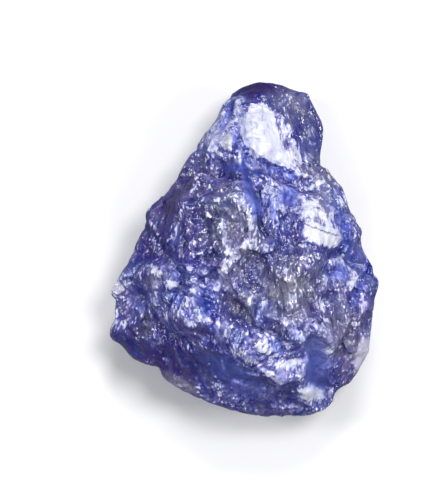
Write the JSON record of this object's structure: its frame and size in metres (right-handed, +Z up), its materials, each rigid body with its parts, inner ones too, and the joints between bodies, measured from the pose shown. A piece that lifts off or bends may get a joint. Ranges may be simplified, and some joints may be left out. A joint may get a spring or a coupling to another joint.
{
  "type": "rough blue sapphire",
  "caption": "Rough uncut blue sapphire: a drop-shaped lump with a rounded cap, scooped fracture faces, grooves and frosty patches, lying on the flat parting face at its back.",
  "frame": {"origin": "on the surface that the stone rests on, under the middle of its box", "axes": "+Z up, away from the surface; +Y towards the narrow cap of the stone; +X to the right as the best face is seen from above"},
  "size_m": [0.018, 0.0222, 0.0113],
  "materials": {
    "sapphire": "translucent violet-blue crystal with glassy, finely chipped fracture surfaces and frosty white patches"
  },
  "bodies": {
    "root": {"sapphire": "sapphire"}
  },
  "joints": []
}
